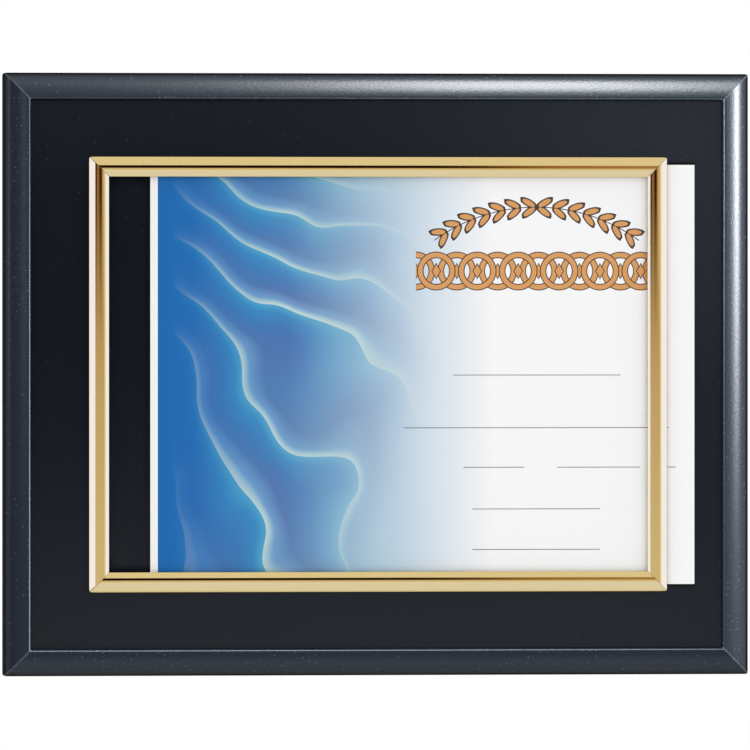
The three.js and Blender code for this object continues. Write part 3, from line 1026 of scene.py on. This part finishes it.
@dataclass
class MouldingFrame:
    """Four mitred mouldings with their hangers. Widths go across a moulding, depths up from its back.

    Attributes:
        wall_depth: where the outer wall ends and the rounded face starts.
        gap: between two mouldings at a mitre.
        slot_fit: how far a slot stands off the steel in it.
        slot_end: where along Y the corner nails' slots end, well behind the back.
    """

    lacquer: Material
    board: Material
    zinc: Material
    width: float = 13.5
    wall_depth: float = 8.5
    sight_bevel: float = 1.4
    rabbet: float = 4.5
    lip: float = 1.8
    gap: float = 0.15
    corner_radius: float = 1.4
    wear_width: float = 0.35
    edge_ease: float = 0.3
    sight_ease: float = 0.12
    hanger_ease: float = 0.12
    slot_fit: float = 0.1
    slot_end: float = 13.5
    face_steps: int = 40
    rings: int = 72

    def section(self, depth: float) -> list[Vector]:
        """The moulding's section: rabbet, sight bevel, rounded face and outer wall, from the back.

        Args:
            depth: from the back to the crest, in millimetres.

        Returns:
            Its points, inwards and to the front.
        """
        crest = self.width - self.sight_bevel
        rabbet_wall = self.width - self.rabbet
        rabbet_depth = depth - self.lip
        corners = [
            (rabbet_wall, 0, self.edge_ease), (rabbet_wall, rabbet_depth, 0),
            (self.width, rabbet_depth, self.sight_ease), (self.width, depth, self.sight_bevel),
        ]
        for i in range(1, self.face_steps + 1):
            angle = math.pi / 2 * i / self.face_steps
            rise = (depth - self.wall_depth) * math.cos(angle)
            corners.append((crest * (1 - math.sin(angle)), self.wall_depth + rise, 0))
        return eased([*corners, (0, 0, self.edge_ease)])

    def slots(self, side: Side) -> Mesh:
        """The slots that the corner nails and panel points are driven into, as one mesh to cut with.

        Args:
            side: which moulding.

        Returns:
            The closed shapes, in the frame.
        """
        names = [n for n in frame["nodes"] if n.startswith(f"panel_point_{side.word}")]
        names += [n for n in frame["nodes"] if n.startswith("corner_nail") and side.word in n]
        whole = bmesh.new()
        for name in names:
            solid = merged_copy(name, self.slot_fit)
            back = max(vert.co.y for vert in solid.verts)
            for vert in solid.verts:
                if name.startswith("corner_nail") and vert.co.y > back - self.edge_ease * MM:
                    vert.co.y = self.slot_end * MM
            whole.from_mesh(to_mesh(name, solid))
        return to_mesh(f"slots_{side.word}", whole)

    def build(self) -> None:
        """Builds the mouldings."""
        boxes = [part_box(f"moulding_{side.word}") for side in Side]
        low = Vector(map(min, *(box[0] for box in boxes)))
        high = Vector(map(max, *(box[1] for box in boxes)))
        outline = Rectangle(low, high)
        depth = (high.y - low.y) / MM
        section = self.section(depth)
        tree = rail_tree()
        for side in Side:
            name = f"moulding_{side.word}"
            cutter = self.slots(side)
            cutter.transform(outline.matrix(side).inverted())
            mesh = finished(loop_mesh(section), tree, {
                "Length": outline.length(side), "Gap": self.gap * MM, "Rings": self.rings,
                "Corner Radius": self.corner_radius * MM, "Wear Width": self.wear_width * MM,
                "Bare To": (depth - self.lip + self.rabbet) * MM, "Face": self.lacquer, "Back": self.board,
            }, cutter=cutter)
            mesh.transform(outline.matrix(side))
            shown(f"lacquered_{name}", soften(mesh), Body.PLAQUE, [name])

    def dress(self) -> None:
        """Gives the hangers eased edges, and puts zinc on them, the corner nails and the corner keys."""
        for node in ("hanger_top", "hanger_right"):
            mesh = to_mesh(f"pressed_{node}", merged_copy(node), self.hanger_ease)
            mesh.materials.clear()
            mesh.materials.append(self.zinc)
            shown(f"pressed_{node}", mesh, Body.PLAQUE, [node])
        for name, node in frame["nodes"].items():
            if name.startswith(("corner_nail", "corner_key")):
                node.data.materials.clear()
                node.data.materials.append(self.zinc)


class Pin(Enum):
    """A kind of round fastener, by what its nodes' names start with."""

    SCREW = "rail_screw"
    NAIL = "hanger_nail"


@dataclass
class Fasteners:
    """The screws behind the gold frame, the hanger nails and the panel points.

    Attributes:
        seed: for the turns of the screws' slots.
    """

    zinc: Material
    screw_head: float = 1.1
    nail_head: float = 0.7
    slot_width: float = 0.5
    slot_depth: float = 0.5
    shank_radius: float = 0.7
    point_ease: float = 0.08
    head_steps: int = 6
    round_steps: int = 24
    seed: int = 7

    def pin(self, kind: Pin, head_radius: float, head_height: float, length: float) -> Object:
        """A domed head behind a pointed shank, with the seat of the head at the origin.

        Args:
            kind: which kind. A screw has a slot.
            head_radius: in metres.
            head_height: in metres.
            length: from the seat to the point, in metres.

        Returns:
            The pattern.
        """
        shank = self.shank_radius * MM
        dome = [math.pi / 2 * k / self.head_steps for k in range(self.head_steps + 1)]
        profile = [(head_radius * math.sin(a), head_height * math.cos(a)) for a in dome]
        profile += [(shank, 0), (shank, 2 * shank - length), (0, -length)]
        solid = bmesh.new()
        ring = [solid.verts.new((radius, y, 0)) for radius, y in profile]
        edges = [solid.edges.new(pair) for pair in zip(ring, ring[1:])]
        bmesh.ops.spin(solid, geom=ring + edges, axis=(0, 1, 0), cent=(0, 0, 0), angle=2 * math.pi,
                       steps=self.round_steps, use_merge=True)
        bmesh.ops.remove_doubles(solid, verts=solid.verts, dist=WELD)
        bmesh.ops.recalc_face_normals(solid, faces=solid.faces)
        mesh = to_mesh("pin", solid)
        mesh.materials.append(self.zinc)
        if kind is Pin.SCREW:
            half = self.slot_width * MM / 2
            plan = square(-head_radius, head_radius, -half, half)
            floor = head_height - self.slot_depth * MM
            mesh = finished(mesh, cutter=to_mesh("tool", prism(plan, floor, 2 * head_height)))
        return in_scene("pin", soften(mesh))

    def tab(self, node: str) -> Object:
        """A panel point with its edges eased, about the origin.

        Args:
            node: the panel point, on the bottom side.

        Returns:
            The pattern.
        """
        low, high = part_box(node)
        mesh = to_mesh("tab", merged_copy(node), self.point_ease)
        mesh.transform(Matrix.Translation(-(low + high) / 2))
        mesh.materials.append(self.zinc)
        return in_scene("tab", mesh)

    def spread(self, name: str, pattern: Object, places: Sequence[Vector], turns: Sequence[float],
               spin: float, nodes: Sequence[str]) -> None:
        """Puts a copy of a fastener at each place.

        Args:
            name: the piece's name.
            pattern: the fastener, about the origin. It is removed.
            places: where the copies go.
            turns: how far each is turned about the depth, in radians.
            spin: the most that each is turned besides, at random, in radians.
            nodes: the nodes that they stand for.
        """
        points = bpy.data.meshes.new("places")
        points.from_pydata(places, [], [])
        points.attributes.new("turn", "FLOAT", "POINT").data.foreach_set("value", turns)
        values = {"Pattern": pattern, "Spin": spin, "Seed": self.seed, "Material": self.zinc}
        mesh = finished(points, fastener_tree(), values)
        bpy.data.objects.remove(pattern)
        shown(name, soften(mesh), Body.PLAQUE, nodes)

    def build(self) -> None:
        """Builds all three kinds, with each length of a pin as one piece."""
        nodes = sorted(frame["nodes"])
        for kind, head_mm, spin in ((Pin.SCREW, self.screw_head, math.pi), (Pin.NAIL, self.nail_head, 0.0)):
            head = head_mm * MM
            by_length: dict[float, list[str]] = {}
            for node in nodes:
                if node.startswith(kind.value):
                    low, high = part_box(node)
                    by_length.setdefault(round((high.y - low.y) / MM, 1), []).append(node)
            ends = ("s",) if len(by_length) == 1 else ("s_short", "s_long")
            for end, (length, group) in zip(ends, sorted(by_length.items())):
                boxes = [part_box(node) for node in group]
                radius = (boxes[0][1].x - boxes[0][0].x) / 2
                pattern = self.pin(kind, radius, head, length * MM - head)
                places = [Vector(((a.x + b.x) / 2, b.y - head, (a.z + b.z) / 2)) for a, b in boxes]
                self.spread(kind.value + end, pattern, places, [0.0] * len(group), spin, group)
        points = [node for node in nodes if node.startswith("panel_point")]
        turns = [next(side.value for side in Side if side.word in node) for node in points]
        places = [(low + high) / 2 for low, high in map(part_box, points)]
        self.spread("panel_points", self.tab("panel_point_bottom_1"), places, turns, 0.0, points)


@dataclass
class DisplayPanel:
    """The laminated panel: laminate on the front, bare board at the edges and behind.

    Attributes:
        front_from: how far to the front a face has to look, from 0 to 1, to be laminated.
    """

    laminate: Material
    board: Material
    edge_ease: float = 0.25
    front_from: float = 0.3

    def build(self) -> None:
        """Builds the panel where its solid is."""
        low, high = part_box("display_panel")
        plan = square(low.x, high.x, low.z, high.z)
        mesh = to_mesh("laminated_panel", prism(plan, low.y, high.y), self.edge_ease)
        mesh.materials.append(self.laminate)
        mesh.materials.append(self.board)
        for face in mesh.polygons:
            face.material_index = 0 if face.normal.y < -self.front_from else 1
        shown("laminated_panel", mesh, Body.PLAQUE, ["display_panel"])


@dataclass
class GoldFrame:
    """The gold channel rails and the sill of the slot. Widths go across a rail, heights up from the panel."""

    gold: Material
    width: float = 10.4
    wall: float = 2.3
    lip: float = 1.2
    base_width: float = 8.2
    slot_ceiling: float = 3.5
    hook_width: float = 1.1
    hook: float = 0.5
    key_channel: float = 1.5
    crown_wall: float = 1.2
    outer_bevel: float = 3.0
    outer_drop: float = 1.9
    inner_bevel: float = 2.0
    inner_drop: float = 1.35
    gap: float = 0.15
    corner_radius: float = 2.0
    wear_width: float = 0.2
    edge_ease: float = 0.25
    cut_ease: float = 0.06
    shoulder: float = 0.9
    sight_ease: float = 0.7
    sharp_degrees: float = 20.0
    crown_steps: int = 20
    rings: int = 40

    def crown(self, height: float) -> list[Corner]:
        """The rail's shown face, from the window out: inner bevel, crown and outer bevel.

        Args:
            height: of the crest above the panel, in millimetres.

        Returns:
            Its corners.
        """
        foot = self.slot_ceiling + self.hook + self.key_channel + self.crown_wall
        first, last = self.width - self.inner_bevel, self.outer_bevel
        corners = [(self.width, foot - self.inner_drop, self.sight_ease)]
        for i in range(self.crown_steps + 1):
            share = i / self.crown_steps
            rise = 4 * (height - foot) * share * (1 - share)
            corners.append((first + (last - first) * share, foot + rise, 0))
        return corners + [(0, foot - self.outer_drop, self.shoulder)]

    def section(self, side: Side, height: float, floor: float) -> list[Vector]:
        """A rail's whole section.

        Args:
            side: which rail.
            height: of the crest above the panel, in millimetres.
            floor: of the slot above the panel, in millimetres.

        Returns:
            Its points, inwards and to the front.
        """
        ceiling, ease = self.slot_ceiling, self.edge_ease
        face = [(self.width, ceiling, 0), *self.crown(height)]
        if side is Side.LEFT:
            return eased([(0, 0, ease), (self.base_width, 0, 0), (self.base_width, ceiling, 0), *face])
        base = [(0, ceiling, ease)]
        if side.level:
            base = [
                (0, 0, ease), (self.base_width, 0, ease), (self.base_width, floor, ease),
                (self.wall, floor, 0), (self.wall, ceiling, 0),
            ]
        channel_floor = ceiling + self.hook
        channel_ceiling = channel_floor + self.key_channel
        inner = self.width - self.lip
        outer_hook, inner_hook = self.wall + self.hook_width, inner - self.hook_width
        return eased([
            *base, (outer_hook, ceiling, 0), (outer_hook, channel_floor, 0), (self.wall, channel_floor, 0),
            (self.wall, channel_ceiling, 0), (inner, channel_ceiling, 0), (inner, channel_floor, 0),
            (inner_hook, channel_floor, 0), (inner_hook, ceiling, 0), *face,
        ])

    def channel(self, length: float) -> Mesh:
        """The channel for the corner keys in the left rail, as a mesh to cut with.

        Args:
            length: the rail's length, in metres.

        Returns:
            A bar longer than the rail, in the axes of a side.
        """
        plan = square(-length, length, self.wall * MM, (self.width - self.lip) * MM)
        floor = (self.slot_ceiling + self.hook) * MM
        return to_mesh("channel", prism(plan, -floor - self.key_channel * MM, -floor))

    def build(self) -> None:
        """Builds the four rails and the sill."""
        low, high = map(Vector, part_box("gold_rail_top"))
        low.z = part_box("gold_rail_bottom")[0].z
        outline = Rectangle(low, high)
        height = (high.y - low.y) / MM
        floor = (high.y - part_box("slot_sill")[0].y) / MM
        sections = {f"gold_rail_{side.word}": (side, self.section(side, height, floor)) for side in Side}
        sections["slot_sill"] = (Side.RIGHT, eased([
            (0, 0, self.edge_ease), (self.base_width, 0, 0), (self.base_width, floor, self.edge_ease),
            (0, floor, self.edge_ease),
        ]))
        tree = rail_tree()
        for name, (side, section) in sections.items():
            length = outline.length(side)
            mesh = finished(loop_mesh(section), tree, {
                "Length": length, "Gap": self.gap * MM, "Rings": self.rings,
                "Corner Radius": self.corner_radius * MM, "Wear Width": self.wear_width * MM,
                "Bare To": 0.0, "Face": self.gold, "Back": self.gold,
            }, cutter=self.channel(length) if side is Side.LEFT else None, ease=self.cut_ease)
            mesh.transform(outline.matrix(side))
            shown(f"anodised_{name}", soften(mesh, self.sharp_degrees), Body.PLAQUE, [name])


@dataclass
class Sheets:
    """The two loose sheets in the slot.

    Attributes:
        face_from: how far to the front or back a face has to look, from 0 to 1, not to be a cut edge.
    """

    card: Material
    clear: Material
    cut_edge: Material
    card_corner: float = 0.2
    cover_corner: float = 0.5
    face_from: float = 0.5

    def build(self) -> None:
        """Builds both where their solids are."""
        for name, node, body, slot, face_material, edge_material, corner in (
            ("printed_certificate", "certificate", Body.CERTIFICATE, Slot.PAPER, self.card, self.card,
             self.card_corner),
            ("clear_cover_sheet", "clear_cover", Body.COVER, Slot.CLEAR, self.clear, self.cut_edge,
             self.cover_corner),
        ):
            low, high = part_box(node)
            plan = eased([(x, z, corner * MM) for x, z in square(low.x, high.x, low.z, high.z)])
            mesh = to_mesh(name, prism(plan, low.y, high.y))
            mesh.materials.append(face_material)
            if edge_material is not face_material:
                mesh.materials.append(edge_material)
                for face in mesh.polygons:
                    face.material_index = int(abs(face.normal.y) < self.face_from)
            sheet = shown(name, mesh, body, [node])
            sheet.visible_shadow = sheet.visible_diffuse = face_material is not self.clear


def keep_to(lamp: Object, lights: str) -> None:
    """Keeps the light of a lamp or card to some pieces.

    Args:
        lamp: the lamp or card.
        lights: what the names of the pieces that it lights start with.
    """
    lit = bpy.data.collections.new(f"lit_by_{lamp.name}")
    for piece in bpy.context.scene.objects:
        if piece.name.startswith(lights):
            lit.objects.link(piece)
    lamp.light_linking.receiver_collection = lit


@dataclass
class SoftBox:
    """A soft lamp. All lengths are in metres.

    Attributes:
        name: its name.
        place: where it stands.
        faces: the point that it faces.
        size: its width and height.
        radiance: how bright its face is.
        lights: what the names of the pieces that it lights start with.
        colour: its colour.
    """

    name: str
    place: tuple[float, float, float]
    faces: tuple[float, float, float]
    size: tuple[float, float]
    radiance: float
    lights: str
    colour: str = WHITE

    def build(self) -> None:
        """Builds the lamp, out of the camera's sight and for its own pieces only."""
        light = bpy.data.lights.new(self.name, "AREA")
        light.shape = "RECTANGLE"
        light.size, light.size_y = self.size
        light.energy = self.radiance * math.pi * self.size[0] * self.size[1]
        light.color = linear(self.colour)[:3]
        lamp = in_scene(self.name, light)
        lamp.location = self.place
        lamp.rotation_mode = "QUATERNION"
        lamp.rotation_quaternion = (Vector(self.faces) - Vector(self.place)).to_track_quat("-Z", "Y")
        lamp.visible_camera = False
        keep_to(lamp, self.lights)


@dataclass
class MirrorCard:
    """A flat card with its own glow, which only mirrors see. From behind it is as white as the surround.

    Attributes:
        name: its name.
        corners: its outline in the plane of the front, in metres, in order. Run from the left it faces the
            front, and run from the right it faces the plaque.
        place: where it stands along Y, in metres.
        patches: the glow at places along the card, from left to right.
        levels: the glow at heights up its lower part, if that differs.
        blend: the heights between which the lower part gives way.
        hole: the outline of the hole in it, if it has one.
        lights: what the names of the pieces that mirror its glow start with. To others it is black.
    """

    name: str
    corners: Sequence[Place]
    place: float
    patches: Stops
    levels: Stops = ()
    blend: tuple[float, float] = (0.0, 1.0)
    hole: Sequence[Place] = ()
    lights: str = ""

    def ramp(self, way: NodeSocket, stops: Stops) -> Node:
        """A glow that changes one way across the card.

        Args:
            way: the place that way, in metres.
            stops: places with their glow.

        Returns:
            The node that gives the glow.
        """
        node = partial(add_node, way.id_data)
        low, high = stops[0][0], stops[-1][0]
        share = node("ShaderNodeMapRange", {"Value": way, "From Min": low, "From Max": high})
        shares = [((place - low) / (high - low), colour) for place, colour in stops]
        return set_ramp(node("ShaderNodeValToRGB", [share]), shares)

    def glow(self) -> Material:
        """Makes the card's material.

        Returns:
            The material.
        """
        material = bpy.data.materials.new(f"{self.name}_glow")
        material.use_nodes = True
        material.node_tree.nodes.clear()
        node = partial(add_node, material.node_tree)
        along, _, up = node("ShaderNodeSeparateXYZ", [node("ShaderNodeTexCoord").outputs["Object"]]).outputs
        front = self.ramp(along, self.patches)
        if self.levels:
            upper = node("ShaderNodeMapRange",
                         {"Value": up, "From Min": self.blend[0], "From Max": self.blend[1]})
            lower = self.ramp(up, self.levels)
            front = node("ShaderNodeMix", {"Factor": upper, "A": lower, "B": front}, data_type="RGBA")
        behind = node("ShaderNodeNewGeometry").outputs["Backfacing"]
        sides = node("ShaderNodeMix", {"Factor": behind, "A": front, "B": linear(WHITE)}, data_type="RGBA")
        node("ShaderNodeOutputMaterial", {"Surface": node("ShaderNodeEmission", {"Color": sides})})
        return material

    def build(self) -> None:
        """Builds the card."""
        mesh = bpy.data.meshes.new(self.name)
        count = len(self.corners)
        faces = [tuple(range(count))]
        if self.hole:
            faces = [(i, (i + 1) % count, (i + 1) % count + count, i + count) for i in range(count)]
        mesh.from_pydata([(x, self.place, z) for x, z in (*self.corners, *self.hole)], [], faces)
        mesh.materials.append(self.glow())
        card = in_scene(self.name, mesh)
        card.visible_camera = card.visible_shadow = card.visible_diffuse = False
        keep_to(card, self.lights)


@dataclass
class Studio:
    """The camera, the lamps, the cards, the pale floor and the white surround. All lengths are in metres.

    Attributes:
        yaw: how far the camera stands to the right of the front, in degrees.
        pitch: how far it looks down, in degrees.
        distance: from the camera to the plaque's middle.
        lens: its focal length, in millimetres.
        aim_shift: how far the camera aims to the right of the plaque's middle, and above it.
        sight: how far the camera sees.
        floor_drop: from the plaque's lower edge down to the floor.
        wall_reach: from the middle of the wall behind the plaque to its edges.
        wall_place: where that wall stands along Y.
        wall_edge: the width over which it turns from grey to dark.
    """

    yaw: float = -7.09
    pitch: float = 0.25
    distance: float = 7.15
    lens: float = 674.15
    aim_shift: tuple[float, float] = (0.00006, -0.0004)
    sight: float = 100.0
    floor_drop: float = 0.25
    floor_size: float = 6.0
    wall_reach: float = 3.0
    wall_place: float = 0.03
    wall_edge: float = 0.005

    def camera(self) -> None:
        """Stands the camera where the photograph was taken from."""
        middle = (CAD_BOX[0] + CAD_BOX[1]) / 2
        aim = Vector((middle.x + self.aim_shift[0], 0.0, middle.z + self.aim_shift[1]))
        yaw, pitch = math.radians(self.yaw), math.radians(self.pitch)
        level = math.cos(pitch)
        back = Vector((math.sin(yaw) * level, -math.cos(yaw) * level, math.sin(pitch)))
        data = bpy.data.cameras.new("camera")
        data.lens = self.lens
        data.clip_end = self.sight
        camera = in_scene("camera", data)
        camera.location = aim + back * self.distance
        camera.rotation_mode = "QUATERNION"
        camera.rotation_quaternion = (-back).to_track_quat("-Z", "Y")
        bpy.context.scene.camera = camera

    def surround(self) -> None:
        """Makes the world white at a strength of 1: white to the eye and in mirrors, and a soft fill."""
        world = bpy.data.worlds.new("white_surround")
        bpy.context.scene.world = world
        world.use_nodes = True
        world.node_tree.nodes.clear()
        node = partial(add_node, world.node_tree)
        white = node("ShaderNodeBackground", {"Color": linear(WHITE), "Strength": 1.0})
        node("ShaderNodeOutputWorld", {"Surface": white})

    def floor(self) -> None:
        """Lays a plain pale floor under the hung plaque."""
        half = self.floor_size / 2
        height = CAD_BOX[0].z - self.floor_drop
        mesh = bpy.data.meshes.new("floor")
        mesh.from_pydata([(x, y, height) for x, y in square(-half, half, -half, half)], [], [(0, 1, 2, 3)])
        mesh.materials.append(Finish("pale_floor_paint", "#fcfcfc", 0.9).made())
        floor = in_scene("floor", mesh)

    def light(self) -> None:
        """Sets the lamps, each for its own pieces, the card that the gold mirrors and the dim wall."""
        gold, panel = "anodised", "laminated"
        top, bottom, left, right = (
            f"lacquered_moulding_{side.word}" for side in (Side.TOP, Side.BOTTOM, Side.LEFT, Side.RIGHT))
        cool, wash, pale, sky = "#6788ff", "#6f97ff", "#e3ebff", "#fffbf7"
        for row in (
            ("left_wall", (-1.77, -0.85, 0.215), (0.0, -0.85, 0.215), (1.6, 1.33), 2.1, gold, cool),
            ("right_wall", (0.79, -0.21, 0.03), (0.0, -0.21, 0.03), (0.38, 0.9), 2.1, gold, cool),
            ("floor_wash", (0.0, -0.6, -0.5), (0.0, -0.6, 0.0), (2.0, 1.0), 0.5, gold, wash),
            ("panel_sheen", (0.45, -0.8, 0.12), (0.2, 0.0, -0.05), (0.5, 0.5), 2.0, panel, pale),
            ("panel_low", (0.05, -0.7, -0.42), (0.0, 0.0, -0.27), (0.9, 0.2), 0.8, panel, pale),
            ("high_key", (0.16, -0.54, 0.285), (0.1, 0.0, 0.0), (0.17, 0.3), 46.5, top, sky),
            ("right_key", (0.58, -0.6, 0.04), (0.19, 0.0, -0.02), (0.14, 0.34), 88.0, right, sky),
            ("top_rim", (0.15, -0.42, -0.59), (0.1, -0.02, 0.0), (0.35, 0.2), 50.0, top),
            ("low_rim", (0.05, -0.42, 0.3), (0.05, -0.02, -0.29), (0.5, 0.2), 27.0, bottom),
            ("left_rim", (0.5, -0.45, -0.22), (-0.18, -0.02, -0.18), (0.2, 0.4), 42.0, left),
            ("right_rim", (-0.5, -0.45, 0.02), (0.18, -0.02, -0.02), (0.2, 0.25), 54.0, right),
            ("left_streak", (-0.66, -0.37, -0.02), (-0.19, 0.0, -0.02), (0.06, 0.3), 3.0, left),
            ("front_streak", (-0.22, -0.7, -0.02), (-0.18, 0.0, -0.02), (0.06, 0.3), 3.0, left),
        ):
            SoftBox(*row).build()
        patches = (
            (-1.2, "#0c0300"), (-0.95, "#1c0700"), (-0.8, "#5a2a12"), (-0.56, "#b28f66"), (-0.36, "#9a6f45"),
            (-0.16, "#3a1408"), (-0.05, "#200800"), (0.15, "#200800"), (0.2, "#b0864f"), (0.36, "#d0bb98"),
            (0.64, "#e0d6c4"), (0.9, WHITE),
        )
        levels = (
            (-0.5, WHITE), (-0.4, "#fbfaf8"), (-0.24, "#ece3d6"), (-0.16, "#ddd0bf"), (-0.11, "#d0bda2"),
        )
        MirrorCard("room_behind_camera", square(0.9, -1.2, -0.5, 0.39), -0.8, patches, levels,
                   (-0.13, -0.05), lights=gold).build()
        # The wall behind the plaque, which the moulding's outer edges mirror: grey on the left, else dark
        low, high = CAD_BOX
        dark, grey, far = "#0f141c", "#626c7a", self.wall_reach
        glow = ((-far, grey), (low.x - self.wall_edge, grey), (low.x, dark), (far, dark))
        around = square(low.x, high.x, low.z, high.z)
        MirrorCard("dim_wall", square(-far, far, -far, far), self.wall_place, glow, hole=around).build()


def main() -> None:
    """Builds the finishes, the plaque and the studio, in order."""
    logging.basicConfig(level=logging.INFO, format="%(name)s: %(message)s")
    lacquer = SatinLacquer("satin_black_lacquer", "#1a2129", 0.27).made()
    laminate = BlackLaminate("black_melamine_laminate", "#09121b", 0.4).made()
    board = BareFibreboard("bare_fibreboard", "#a07a52", 0.85).made()
    gold = GoldAnodised("gold_anodised_aluminium", "#dbc387", 0.08).made()
    zinc = ZincPlate("zinc_plated_steel", "#c6cbd0", 0.35).made()
    clear = ClearPolyester("clear_polyester_sheet", WHITE, 0.03).made()
    cut_edge = ClearPolyester("cut_polyester_edge", "#9fb0b4", 0.4, index=6.0).made()
    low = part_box("certificate")[0]
    card = PrintedCard("printed_coated_card", "#f9f9f8", 0.55, corner=(low.x, low.z)).made()
    studio = Studio()
    studio.camera()
    mouldings = MouldingFrame(lacquer, board, zinc)
    mouldings.build()
    mouldings.dress()
    Fasteners(zinc).build()
    DisplayPanel(laminate, board).build()
    GoldFrame(gold).build()
    Sheets(card, clear, cut_edge).build()
    studio.surround()
    studio.floor()
    studio.light()
    bpy.context.scene.view_settings.view_transform = "Standard"


if __name__ == "__main__":
    main()
